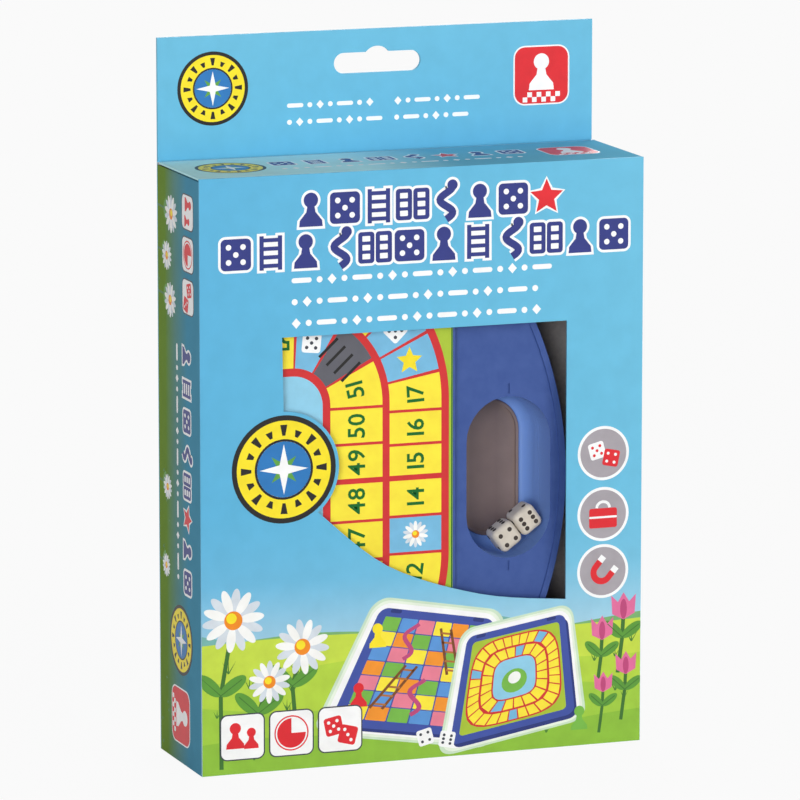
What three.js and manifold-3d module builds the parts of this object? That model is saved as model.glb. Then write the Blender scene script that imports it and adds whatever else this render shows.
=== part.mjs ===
// Boxed folding travel board game: a window carton with a hang tab, and the folded board inside.
// Millimetres. X is to the right, Y to the back, Z up. The origin is under the middle of the carton.

import * as THREE from 'three';
import Module from 'manifold-3d';

const wasm = await Module();
wasm.setup();

// Driving dimensions of the carton
const cartonWidth = 162;
const cartonDepth = 46;
const cartonHeight = 207;
const tabHeight = 43;
const board = 0.6;
const tabRightRelief = 1.5;
const slotWidth = 32;
const slotHeight = 7.2;
const slotBumpRadius = 5.5;
const slotBumpRise = 0.1;
const slotBumpSteps = 24;
const slotAboveLid = 31.3;
const flapGap = 0.4;
const creaseGap = 0.5;
const tuckLength = 14;
const tuckLean = THREE.MathUtils.degToRad(12);
const dustLength = 26;
const dustBackRelief = 10;
const dustFrontGap = 1;
const tuckCorner = 8;
const tuckSideGap = 1;
const tuckDrop = 0.15;
const glueFlapWidth = 14;
const glueFlapEnd = 5;

// Driving dimensions of the window, measured from the middle of the front panel's lower edge
const windowLeft = -51.5;
const windowRight = 52.8;
const windowTop = 151.2;
const windowBottom = 52.7;
const lowerBendX = 21;
const lowerBendZ = 56.8;
const upperBendX = -13;
const upperBendZ = 69;
const emblemX = -51;
const emblemZ = 105.5;
const emblemRadius = 20;

// Driving dimensions of the folded board
const boardHeadroom = 19;
const boardHeight = cartonHeight - boardHeadroom;
const halfThickness = 13;
const boardSideRoom = 38;
const foldToApex = cartonWidth - boardSideRoom;
const archRadius = 134;
const flangeStep = 3;
const frontGap = 3.4;
const apexToRightWall = 25.3;
const sheet = 0.3;
const plate = 1.9;
const wall = 2;
const steel = 0.5;
const trayFloor = 1.4;
const trayPlate = 1.8;
const fit = 0.3;
const cutOver = 1;
const rimWidth = 2.2;
const rimHeight = 0.6;
const partingGap = 0.1;
const printMargin = 1;
const restGap = 0.2;

// Driving dimensions of the dice well
const wellWidth = 31.3;
const wellLength = 57.3;
const wellFromApex = 21.2;
const wellShoulder = 5.15;
const wellDraft = 0.05;
const wellFillet = 6;
const filletSteps = 8;
const leastStep = 0.01;
const floorInset = 4.3;
const collar = 1.8;
const collarGap = 0.2;
const grooveLength = 3.5;
const grooveWidth = 0.8;
const grooveDepth = 0.5;
const grooveGap = 0.9;
const dishInset = 1.4;
const dishPlate = 1.2;
const dishRingRise = 1;
const dishRingWall = 0.9;
const dishRingFloor = 0.3;
const dieSize = 9;
const dieRounding = 1.46;
const diceOffset = 0.45;
const diceDrop = 8.55;
const diceRise = 1;
const diceTilt = THREE.MathUtils.degToRad(36);

// Driving dimensions of the hinge and the playing pieces
const barrelRadius = 2.2;
const barrelLength = 8;
const pinRadius = 1;
const pinPlay = 0.15;
const hingeSpread = 62;
const pawnRowSpread = 35;
const pawnFootHeight = 2.2;
const pawnColumns = [0.3, 0.65];
const bodyRadii = [4, 3.6, 5];
const bodyRise = 5.4;
const headRadius = 2.6;
const headForward = 2.4;
const neckRadius = 1.8;
const neckFoot = 5;
const beakRadii = [1.3, 0.4];
const beakDrops = [2.8, 3.2];
const beakReach = [4, 6.6];
const tailRadii = [0.5, 2.2];
const tailRises = [7.6, 5.8];
const tailReach = [-6.4, -3];
const magnetPlay = 0.15;
const pawnHeight = 13;
const pawnBaseRadius = 5.6;
const magnetRadius = 3;
const magnetHeight = 1.2;
const leafletWidth = 100;
const leafletHeight = 150;
const leafletThickness = 0.9;

// Places worked out from the driving dimensions
const halfWidth = cartonWidth / 2;
const frontFace = -cartonDepth / 2;
const backFace = cartonDepth / 2;
const frontInner = frontFace + board;
const backInner = backFace - board;
const sideInner = halfWidth - board;
const lidUnder = cartonHeight - board;
const dustTop = lidUnder - flapGap;
const floorTop = 3 * board;
const printPlane = frontInner + frontGap;
const shellFace = printPlane + sheet;
const flangeFace = printPlane + flangeStep;
const parting = printPlane + halfThickness;
const boardMiddle = floorTop + restGap + boardHeight / 2;
const apexX = halfWidth - board - apexToRightWall;
const foldX = apexX - foldToApex;
const bodyRight = apexX - wellFromApex - wellWidth / 2 - wellShoulder;
const hingeX = foldX - barrelRadius - flapGap;
const wellX = apexX - wellFromApex;
const wellDepth = 2 * (parting - flangeFace);

// Outlines

function arc(cx, cy, radius, from, to, steps) {
  const points = [];
  for (let i = 0; i <= steps; i += 1) {
    const angle = from + ((to - from) * i) / steps;
    points.push([cx + radius * Math.cos(angle), cy + radius * Math.sin(angle)]);
  }
  return points;
}

function rectangle(left, right, low, high) {
  return [[left, low], [right, low], [right, high], [left, high]];
}

function circle(cx, cy, radius, steps = 24) {
  return arc(cx, cy, radius, 0, 2 * Math.PI, steps).slice(0, steps);
}

function stadium(cx, cy, width, length, steps = 16) {
  const radius = width / 2;
  const reach = length / 2 - radius;
  return [
    ...arc(cx, cy + reach, radius, 0, Math.PI, steps),
    ...arc(cx, cy - reach, radius, Math.PI, 2 * Math.PI, steps),
  ];
}

function archOutline(inset) {
  const half = boardHeight / 2 - inset;
  const radius = archRadius - inset;
  const sweep = Math.asin(half / radius);
  return [
    [foldX + inset, boardMiddle - half],
    ...arc(apexX - archRadius, boardMiddle, radius, -sweep, sweep, 40),
    [foldX + inset, boardMiddle + half],
  ];
}

function bodyOutline(inset) {
  const half = boardHeight / 2 - inset;
  return rectangle(foldX + inset, bodyRight - inset, boardMiddle - half, boardMiddle + half);
}

function windowOutline() {
  const sweepStart = -THREE.MathUtils.degToRad(52);
  const lowerCurve = new THREE.SplineCurve([
    new THREE.Vector2(windowRight, windowBottom),
    new THREE.Vector2(lowerBendX, lowerBendZ),
    new THREE.Vector2(upperBendX, upperBendZ),
    new THREE.Vector2(
      emblemX + emblemRadius * Math.cos(sweepStart),
      emblemZ + emblemRadius * Math.sin(sweepStart),
    ),
  ]);
  return [
    [windowLeft, windowTop],
    [windowRight, windowTop],
    ...lowerCurve.getPoints(18).map((p) => [p.x, p.y]),
    ...arc(emblemX, emblemZ, emblemRadius, sweepStart, Math.PI / 2, 22).slice(1),
  ];
}

// Solids

// Where an outline's two numbers go, for a prism along each axis
const places = {
  x: (a, b, t) => [t, a, b],
  y: (a, b, t) => [a, t, b],
  z: (a, b, t) => [a, b, t],
};

function solidFrom(positions, index) {
  const geometry = new THREE.BufferGeometry();
  geometry.setAttribute('position', new THREE.Float32BufferAttribute(positions.flat(), 3));
  geometry.setIndex(index);
  return geometry;
}

// A closed solid through rings of points, each ring a flat outline at its own place on the axis
function loft(axis, rings) {
  const vectors = (outline) => outline.map(([x, y]) => new THREE.Vector2(x, y));
  const clockwise = THREE.ShapeUtils.isClockWise(vectors(rings[0].outline));
  const outlines = rings.map((ring) => (clockwise ? [...ring.outline].reverse() : ring.outline));
  const count = outlines[0].length;
  const positions = [];
  rings.forEach((ring, r) => {
    for (const [a, b] of outlines[r]) {
      positions.push(places[axis](a, b, ring.at));
    }
  });
  // X and Z in that order turn the other way round about Y
  const flip = axis === 'y';
  const index = [];
  const face = (a, b, c) => index.push(...(flip ? [a, c, b] : [a, b, c]));
  for (let r = 0; r + 1 < rings.length; r += 1) {
    const low = r * count;
    const high = low + count;
    for (let i = 0; i < count; i += 1) {
      const j = (i + 1) % count;
      face(low + i, low + j, high + j);
      face(low + i, high + j, high + i);
    }
  }
  const last = (rings.length - 1) * count;
  for (const [a, b, c] of THREE.ShapeUtils.triangulateShape(vectors(outlines[0]), [])) {
    face(a, c, b);
  }
  for (const [a, b, c] of THREE.ShapeUtils.triangulateShape(vectors(outlines[rings.length - 1]), [])) {
    face(last + a, last + b, last + c);
  }
  return toSolid(solidFrom(positions, index));
}

function prism(axis, outline, from, to) {
  return loft(axis, [{ outline, at: from }, { outline, at: to }]);
}

function block(left, right, front, back, low, high) {
  return prism('z', rectangle(left, right, front, back), low, high);
}

function toSolid(geometry) {
  const mesh = new wasm.Mesh({
    numProp: 3,
    vertProperties: geometry.attributes.position.array,
    triVerts: new Uint32Array(geometry.index.array),
  });
  return new wasm.Manifold(mesh);
}

function toGeometry(solid) {
  const mesh = solid.getMesh();
  const geometry = new THREE.BufferGeometry();
  geometry.setAttribute('position', new THREE.Float32BufferAttribute(mesh.vertProperties, 3));
  geometry.setIndex(Array.from(mesh.triVerts));
  geometry.computeVertexNormals();
  return geometry;
}

// The same solid on the other side of the board's parting plane
function mirrored(solid) {
  return solid.mirror([0, 1, 0]).translate([0, 2 * parting, 0]);
}

// Materials and nodes

const materials = {
  print: new THREE.MeshStandardMaterial({ color: 0x69bbe0, roughness: 0.5 }),
  blue: new THREE.MeshStandardMaterial({ color: 0x4c65a3, roughness: 0.45 }),
  track: new THREE.MeshStandardMaterial({ color: 0xf2d24a, roughness: 0.5 }),
  grid: new THREE.MeshStandardMaterial({ color: 0x8fc05a, roughness: 0.5 }),
  steel: new THREE.MeshStandardMaterial({ color: 0x9a9da0, roughness: 0.35, metalness: 1 }),
  frosted: new THREE.MeshStandardMaterial({ color: 0x8a7c76, roughness: 0.6 }),
  ivory: new THREE.MeshStandardMaterial({ color: 0xd8d0c0, roughness: 0.4 }),
  paper: new THREE.MeshStandardMaterial({ color: 0xf4f2ec, roughness: 0.8 }),
  magnet: new THREE.MeshStandardMaterial({ color: 0x3a3a3c, roughness: 0.6 }),
};
const pawnColours = { yellow: 0xf0cf2a, red: 0xc8202c, green: 0x2f9a48, black: 0x2a2a2c };

const part = new THREE.Group();
part.name = 'boxed_board_game';

function add(name, solid, material) {
  const mesh = new THREE.Mesh(toGeometry(solid), material);
  mesh.name = name;
  part.add(mesh);
}

// Carton: four walls and the hang tab

function addCartonWalls() {
  const windowCut = prism('y', windowOutline(), frontFace - cutOver, frontInner + cutOver);
  const frontSheet = block(-halfWidth, halfWidth, frontFace, frontInner, 0, cartonHeight);
  add('front_panel', frontSheet.subtract(windowCut), materials.print);

  const slotX = -tabRightRelief / 2;
  const slotZ = cartonHeight + slotAboveLid;
  const slotOutline = stadium(slotZ, slotX, slotHeight, slotWidth).map(([z, x]) => [x, z]);
  const bump = arc(slotX, slotZ + slotBumpRise, slotBumpRadius, 0, Math.PI, slotBumpSteps);
  const slotCut = prism('y', slotOutline, backInner - 2 * cutOver, backFace + 2 * cutOver)
    .add(prism('y', bump, backInner - 2 * cutOver, backFace + 2 * cutOver));
  const tabTop = cartonHeight + tabHeight;
  const tabRight = halfWidth - tabRightRelief;
  const backSheet = block(-halfWidth, halfWidth, backInner, backFace, 0, cartonHeight)
    .add(block(-halfWidth, tabRight, backInner, backFace, cartonHeight - cutOver, tabTop));
  add('back_panel', backSheet.subtract(slotCut), materials.print);
  const tabFoot = cartonHeight + flapGap;
  const frontLayer = block(-halfWidth, tabRight, backInner - board, backInner, tabFoot, tabTop);
  add('hang_tab_front_layer', frontLayer.subtract(slotCut), materials.print);

  for (const [name, side] of [['left_panel', -1], ['right_panel', 1]]) {
    const edges = [side * halfWidth, side * sideInner].sort((a, b) => a - b);
    add(name, block(edges[0], edges[1], frontInner, backInner, 0, dustTop), materials.print);
  }
  const glueOutline = [
    [-sideInner, glueFlapEnd], [glueFlapWidth - sideInner, 3 * glueFlapEnd],
    [glueFlapWidth - sideInner, dustTop - 4 * glueFlapEnd], [-sideInner, dustTop - 2 * glueFlapEnd],
  ];
  add('glue_flap', prism('y', glueOutline, backInner - board, backInner), materials.print);
}

// Carton: top lid with its tuck flap, and the two dust flaps under it

function addTopClosure() {
  const lidFront = frontFace + board / 2 + creaseGap;
  const lidBack = backInner - board - fit;
  const lidSide = halfWidth - fit;
  add('top_lid', block(-lidSide, lidSide, lidFront, lidBack, lidUnder, cartonHeight), materials.print);

  const tuckSide = sideInner - tuckSideGap;
  const tuckOutline = [
    [-tuckSide, 0], [-tuckSide, tuckCorner - tuckLength], [tuckCorner - tuckSide, -tuckLength],
    [tuckSide - tuckCorner, -tuckLength], [tuckSide, tuckCorner - tuckLength], [tuckSide, 0],
  ];
  const lean = THREE.MathUtils.radToDeg(tuckLean);
  const tuck = prism('y', tuckOutline, -board, 0).rotate([-lean, 0, 0]);
  add('tuck_flap', tuck.translate([0, lidBack, lidUnder - tuckDrop]), materials.print);

  const crease = sideInner + board / 2 - creaseGap;
  const dustFront = frontInner + dustFrontGap;
  const dustBack = backInner - dustBackRelief;
  for (const [name, side] of [['dust_flap_left', -1], ['dust_flap_right', 1]]) {
    const outline = [
      [side * crease, dustFront], [side * (crease - dustLength), dustFront + dustLength],
      [side * (crease - dustLength), dustBack], [side * crease, dustBack],
    ];
    add(name, prism('z', outline, dustTop - board, dustTop), materials.print);
  }
}

// Carton: the glued bottom, three layers of flaps

function addBottom() {
  add('bottom_panel', block(-sideInner, sideInner, frontInner, backInner, 0, board), materials.print);
  for (const [name, side] of [['bottom_flap_left', -1], ['bottom_flap_right', 1]]) {
    const edges = [side * sideInner, side * (sideInner - dustLength)].sort((a, b) => a - b);
    add(name, block(edges[0], edges[1], frontInner, backInner, board, 2 * board), materials.print);
  }
  const inner = block(-sideInner, sideInner, frontInner, backInner, 2 * board, floorTop);
  add('bottom_inner_panel', inner, materials.print);
}

// Folded board: one half is a shell, a tray, a steel sheet and two printed sheets

// How far the wall of the dice well has come in, at a depth below the front flange
function wellInset(depth) {
  const straight = wellDepth - wellFillet;
  const draft = wellDraft * Math.min(depth, straight);
  if (depth <= straight) {
    return draft;
  }
  const along = (depth - straight) / wellFillet;
  return draft + (floorInset - draft) * (1 - Math.sqrt(1 - along * along));
}

function wellSolid(grow, fromDepth, toDepth) {
  const depths = [fromDepth];
  const straight = wellDepth - wellFillet;
  for (let i = 0; i <= filletSteps; i += 1) {
    const depth = straight + wellFillet * Math.sin((i / filletSteps) * (Math.PI / 2));
    if (depth > fromDepth + leastStep && depth < toDepth - leastStep) {
      depths.push(depth);
    }
  }
  depths.push(toDepth);
  return loft('y', depths.map((depth) => {
    const inset = wellInset(Math.min(Math.max(depth, 0), wellDepth)) - grow;
    const outline = stadium(wellX, boardMiddle, wellWidth - 2 * inset, wellLength - 2 * inset);
    return { outline, at: flangeFace + depth };
  }));
}

function hingeBarrels(spans, webFront, webBack) {
  let barrels = null;
  for (const place of [boardMiddle - hingeSpread, boardMiddle + hingeSpread]) {
    for (const [low, high] of spans) {
      const barrel = prism('z', circle(hingeX, parting, barrelRadius), place + low, place + high)
        .add(block(hingeX, foldX + cutOver, webFront, webBack, place + low, place + high));
      barrels = barrels ? barrels.add(barrel) : barrel;
    }
  }
  return barrels;
}

function pinHoles() {
  const reach = boardHeight / 2;
  return prism('z', circle(hingeX, parting, pinRadius + pinPlay), boardMiddle - reach, boardMiddle + reach);
}

// The blue outer shell of the front half, without its dice well and hinge
function plainShell() {
  const edge = parting - partingGap;
  const rim = prism('y', archOutline(0), flangeFace - rimHeight, flangeFace + cutOver / 2)
    .subtract(prism('y', archOutline(rimWidth), flangeFace - cutOver, flangeFace + cutOver))
    .subtract(block(foldX - cutOver, bodyRight, flangeFace - cutOver, flangeFace + cutOver, 0, cartonHeight));
  const bodyHollow = prism('y', bodyOutline(wall), shellFace + plate, parting + cutOver);
  const flangeHollow = prism('y', archOutline(wall), flangeFace + wall, parting + cutOver);
  return prism('y', bodyOutline(0), shellFace, flangeFace)
    .add(prism('y', archOutline(0), flangeFace, edge))
    .add(rim)
    .subtract(bodyHollow)
    .subtract(flangeHollow);
}

function addFrontHalf() {
  const collarEnd = parting - flangeFace - trayPlate - collarGap;
  const grooveReach = wellLength / 2 + grooveGap;
  const grooveHalf = grooveWidth / 2;
  let grooves = null;
  for (const side of [-1, 1]) {
    const middle = boardMiddle + side * (grooveReach + grooveLength / 2);
    const groove = block(
      wellX - grooveHalf, wellX + grooveHalf, flangeFace - cutOver, flangeFace + grooveDepth,
      middle - grooveLength / 2, middle + grooveLength / 2,
    );
    grooves = grooves ? grooves.add(groove) : groove;
  }
  const middleSpan = [[-barrelLength / 2, barrelLength / 2]];
  const shell = plainShell()
    .add(wellSolid(collar, 0, collarEnd))
    .add(hingeBarrels(middleSpan, parting - barrelRadius, parting - fit))
    .subtract(wellSolid(0, -2 * cutOver, collarEnd + cutOver))
    .subtract(grooves)
    .subtract(pinHoles());
  add('front_shell', shell, materials.blue);
  const trayWell = wellSolid(0, collarEnd - cutOver, wellDepth / 2 + cutOver);
  add('front_tray', plainTray().subtract(trayWell), materials.blue);
  addSheets('front', (solid) => solid);
}

// The blue inner tray: a flat plate at the parting plane with a sunk floor for the inner print
function plainTray() {
  const slack = wall + fit;
  const under = shellFace + plate + steel;
  const edge = parting - partingGap;
  return prism('y', archOutline(slack), edge - trayPlate, edge)
    .add(prism('y', bodyOutline(slack), under, edge))
    .subtract(prism('y', bodyOutline(slack + wall), under + trayFloor, parting + cutOver));
}

function addSheets(half, place) {
  const steelFront = shellFace + plate;
  const gridFront = steelFront + steel + trayFloor;
  const slack = wall + fit;
  const track = prism('y', bodyOutline(printMargin), printPlane, shellFace);
  const steelSheet = prism('y', bodyOutline(slack), steelFront, steelFront + steel);
  const grid = prism('y', bodyOutline(slack + wall + fit), gridFront, gridFront + sheet);
  add(`${half}_track_print`, place(track), materials.track);
  add(`${half}_steel_sheet`, place(steelSheet), materials.steel);
  add(`${half}_grid_print`, place(grid), materials.grid);
}

function addRearHalf() {
  const collarStart = wellDepth / 2 + trayPlate + collarGap;
  const inner = barrelLength / 2 + fit;
  const outerSpans = [[-inner - barrelLength, -inner], [inner, inner + barrelLength]];
  const shell = mirrored(plainShell())
    .add(wellSolid(collar, collarStart, wellDepth))
    .add(hingeBarrels(outerSpans, parting + fit, parting + barrelRadius))
    .subtract(wellSolid(0, collarStart - cutOver, wellDepth + cutOver))
    .subtract(pinHoles());
  add('rear_shell', shell, materials.blue);
  const tray = mirrored(plainTray()).subtract(wellSolid(0, wellDepth / 2 - cutOver, collarStart + cutOver));
  add('rear_tray', tray, materials.blue);
  addSheets('rear', mirrored);
  addDiceDish();
}

// The frosted floor of the dice well, a plate with a low ring that plugs into the rear shell
function addDiceDish() {
  const rearFlange = 2 * parting - flangeFace;
  const ringInset = floorInset + fit;
  const oval = (inset) => stadium(wellX, boardMiddle, wellWidth - 2 * inset, wellLength - 2 * inset);
  const plateFront = rearFlange + partingGap;
  const dish = prism('y', oval(dishInset), plateFront, plateFront + dishPlate)
    .add(prism('y', oval(ringInset), rearFlange - dishRingRise, plateFront + dishPlate / 2))
    .subtract(prism(
      'y', oval(ringInset + dishRingWall), rearFlange - dishRingRise - cutOver, rearFlange + dishRingFloor,
    ));
  add('dice_dish', dish, materials.frosted);
}

function addHingePins() {
  const reach = 1.5 * barrelLength + fit;
  for (const [name, side] of [['hinge_pin_lower', -1], ['hinge_pin_upper', 1]]) {
    const place = boardMiddle + side * hingeSpread;
    const pin = prism('z', circle(hingeX, parting, pinRadius, 16), place - reach, place + reach);
    add(name, pin, materials.steel);
  }
}

// Loose pieces

function ball(radius, detail = 12) {
  const geometry = new THREE.SphereGeometry(radius, 2 * detail, detail);
  geometry.deleteAttribute('normal');
  geometry.deleteAttribute('uv');
  return toSolid(mergeByPlace(geometry));
}

// Joins the points of a round geometry that share one place
function mergeByPlace(geometry) {
  const source = geometry.attributes.position;
  const seen = new Map();
  const positions = [];
  const renamed = [];
  for (let i = 0; i < source.count; i += 1) {
    const point = [source.getX(i), source.getY(i), source.getZ(i)].map((v) => Math.round(v * 1e4) / 1e4 + 0);
    const key = point.join(' ');
    if (!seen.has(key)) {
      seen.set(key, positions.length);
      positions.push(point);
    }
    renamed.push(seen.get(key));
  }
  const index = [];
  const old = geometry.index.array;
  for (let i = 0; i < old.length; i += 3) {
    const [a, b, c] = [renamed[old[i]], renamed[old[i + 1]], renamed[old[i + 2]]];
    if (a !== b && b !== c && c !== a) {
      index.push(a, b, c);
    }
  }
  return solidFrom(positions, index);
}

function addDice() {
  const half = dieSize / 2;
  const tilt = THREE.MathUtils.radToDeg(diceTilt);
  const lowerX = wellX + diceOffset;
  const lowerZ = boardMiddle - wellLength / 2 + wellWidth / 2 - diceDrop;
  const pitch = dieSize + fit;
  const depth = flangeFace + diceRise + half;
  for (const [name, step] of [['die_1', 0], ['die_2', 1]]) {
    const cube = block(-half, half, -half, half, -half, half)
      .intersect(ball(half * dieRounding))
      .rotate([0, -tilt, 0]);
    const x = lowerX + step * pitch * Math.cos(diceTilt);
    const z = lowerZ + step * pitch * Math.sin(diceTilt);
    add(name, cube.translate([x, depth, z]), materials.ivory);
  }
}

// A bird-shaped pawn standing along +Y on the sunk floor of the front tray, with a magnet in its foot
function addPawns() {
  const foot = shellFace + plate + steel + trayFloor + sheet + partingGap;
  const body = ball(1).scale(bodyRadii).translate([0, bodyRise, 0]);
  const head = ball(headRadius).translate([0, pawnHeight - headRadius, headForward]);
  const neck = prism('y', circle(0, neckRadius, neckRadius, 12), neckFoot, pawnHeight - headRadius);
  const beak = loft('z', [0, 1].map((end) => (
    { outline: circle(0, pawnHeight - beakDrops[end], beakRadii[end], 10), at: beakReach[end] }
  )));
  const tail = loft('z', [0, 1].map((end) => (
    { outline: circle(0, tailRises[end], tailRadii[end], 10), at: tailReach[end] }
  )));
  const socket = prism('y', circle(0, 0, magnetRadius + magnetPlay, 20), -cutOver, magnetHeight + magnetPlay);
  const pawn = prism('y', circle(0, 0, pawnBaseRadius, 28), 0, pawnFootHeight)
    .add(body)
    .add(head)
    .add(neck)
    .add(beak)
    .add(tail)
    .subtract(socket);
  const magnet = prism('y', circle(0, 0, magnetRadius, 20), 0, magnetHeight);
  const columns = pawnColumns.map((share) => foldX + share * (bodyRight - foldX));
  const rows = [boardMiddle - pawnRowSpread, boardMiddle + pawnRowSpread];
  Object.keys(pawnColours).forEach((colour, i) => {
    const place = [columns[i % 2], foot, rows[Math.floor(i / 2)]];
    const plastic = new THREE.MeshStandardMaterial({ color: pawnColours[colour], roughness: 0.35 });
    add(`pawn_${colour}`, pawn.translate(place), plastic);
    add(`magnet_${colour}`, magnet.translate(place), materials.magnet);
  });
}

function addLeaflet() {
  const back = backInner - board - fit;
  const left = -leafletWidth / 2;
  const low = floorTop + partingGap;
  const leaflet = block(
    left, left + leafletWidth, back - leafletThickness, back, low, low + leafletHeight,
  );
  add('rules_leaflet', leaflet, materials.paper);
}

addCartonWalls();
addTopClosure();
addBottom();
addFrontHalf();
addRearHalf();
addHingePins();
addDice();
addPawns();
addLeaflet();

export default part;
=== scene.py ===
import math
import random

import bmesh
import bpy
from mathutils import Matrix, Vector


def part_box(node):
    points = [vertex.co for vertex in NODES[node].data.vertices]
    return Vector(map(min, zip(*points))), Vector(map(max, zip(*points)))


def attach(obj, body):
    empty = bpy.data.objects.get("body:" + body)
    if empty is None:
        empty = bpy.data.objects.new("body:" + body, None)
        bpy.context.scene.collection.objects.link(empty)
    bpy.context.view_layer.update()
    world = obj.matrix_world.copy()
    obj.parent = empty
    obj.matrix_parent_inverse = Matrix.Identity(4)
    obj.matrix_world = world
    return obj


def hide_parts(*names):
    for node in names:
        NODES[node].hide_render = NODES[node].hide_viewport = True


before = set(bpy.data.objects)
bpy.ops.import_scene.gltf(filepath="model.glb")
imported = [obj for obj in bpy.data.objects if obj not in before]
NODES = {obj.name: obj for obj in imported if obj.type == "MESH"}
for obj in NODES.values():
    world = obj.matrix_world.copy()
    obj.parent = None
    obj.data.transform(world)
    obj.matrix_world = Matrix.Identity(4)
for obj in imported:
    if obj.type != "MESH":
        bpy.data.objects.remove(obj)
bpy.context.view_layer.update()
MM = 0.001

# Planes of the printed faces, in millimetres
FRONT_Y = -23.0
BACK_Y = 23.0
SIDE_X = 81.0
TOP_Z = 207.0
TAB_Y = 21.8
TAB_TOP_Z = 250.0
TRACK_FRONT_Y = -19.0
TRACK_REAR_Y = 7.0
GRID_FRONT_Y = -14.6
GRID_REAR_Y = 2.6
FOLD_X = -68.9
PANEL_LIMITS = (-80.95, 80.95, 0.05, 206.9)
TAB_LIMITS = (-80.5, 79.0, 208.0, 249.8)
LID_LIMITS = (-80.5, 80.5, -21.5, 21.0)
SIDE_LIMITS = (0.1, 206.9, 0.7, 45.3)
INK_STEP = 0.006
INK_LIFTS = 5
INK_SUNK = 0.02

# Colours of the inks, as 8-bit sRGB
INKS = {
    "white": (252, 252, 252),
    "navy": (50, 58, 128),
    "red": (222, 44, 52),
    "track_red": (208, 50, 52),
    "yellow": (255, 231, 64),
    "sun": (250, 227, 44),
    "black": (30, 28, 28),
    "digit": (0, 100, 36),
    "lime": (170, 195, 58),
    "meadow_far": (198, 220, 74),
    "meadow_mid": (180, 212, 68),
    "meadow_near": (160, 202, 66),
    "meadow_low": (142, 190, 62),
    "hill": (122, 176, 112),
    "hill_far": (118, 178, 170),
    "grass": (74, 128, 52),
    "leaf": (92, 152, 58),
    "leaf_dark": (62, 112, 48),
    "petal": (250, 250, 246),
    "petal_shade": (214, 222, 230),
    "orange": (240, 140, 36),
    "pink": (226, 112, 158),
    "pink_dark": (190, 74, 122),
    "wood": (176, 112, 58),
    "wood_dark": (122, 72, 38),
    "disc_grey": (168, 162, 168),
    "outline": (62, 66, 74),
    "halo_outer": (206, 228, 200),
    "halo_inner": (232, 242, 224),
    "case": (64, 82, 160),
    "case_dark": (44, 56, 120),
    "pond": (146, 206, 232),
    "sky_cell": (120, 186, 222),
    "cell_green": (120, 184, 74),
    "cell_orange": (244, 150, 48),
    "cell_blue": (92, 150, 214),
    "cell_pink": (234, 130, 150),
    "stone": (96, 96, 104),
    "globe": (46, 120, 186),
    "globe_land": (96, 160, 70),
    "cream": (250, 240, 206),
}


def add_object(name, data):
    added = bpy.data.objects.new(name, data)
    bpy.context.collection.objects.link(added)
    return added


def linear(rgb):
    """8-bit sRGB to scene-linear RGBA."""
    def channel(value):
        level = value / 255
        if level <= 0.04045:
            return level / 12.92
        return ((level + 0.055) / 1.055) ** 2.4
    return (channel(rgb[0]), channel(rgb[1]), channel(rgb[2]), 1.0)


def scaled(rgb, factor):
    return tuple(min(255.0, channel * factor) for channel in rgb)


# Where a mottle turns from its dark to its light colour, and the detail of noises
MOTTLE_STOPS = (0.3, 0.7)
SOFT_DETAIL = 3.0
FINE_DETAIL = 2.0
PLAIN_SPECULAR = 0.25
CASE_SPECULAR = 0.22


def feed(tree, socket, value):
    """Sets an input to a value, or links it to an output of another node."""
    if isinstance(value, bpy.types.NodeSocket):
        tree.links.new(value, socket)
    else:
        socket.default_value = value


def add_node(tree, kind, *values):
    """A node with its first inputs set or linked."""
    node = tree.nodes.new(kind)
    for socket, value in zip(node.inputs, values):
        feed(tree, socket, value)
    return node


def add_math(tree, operation, *terms):
    node = add_node(tree, "ShaderNodeMath", *terms)
    node.operation = operation
    return node.outputs["Value"]


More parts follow.
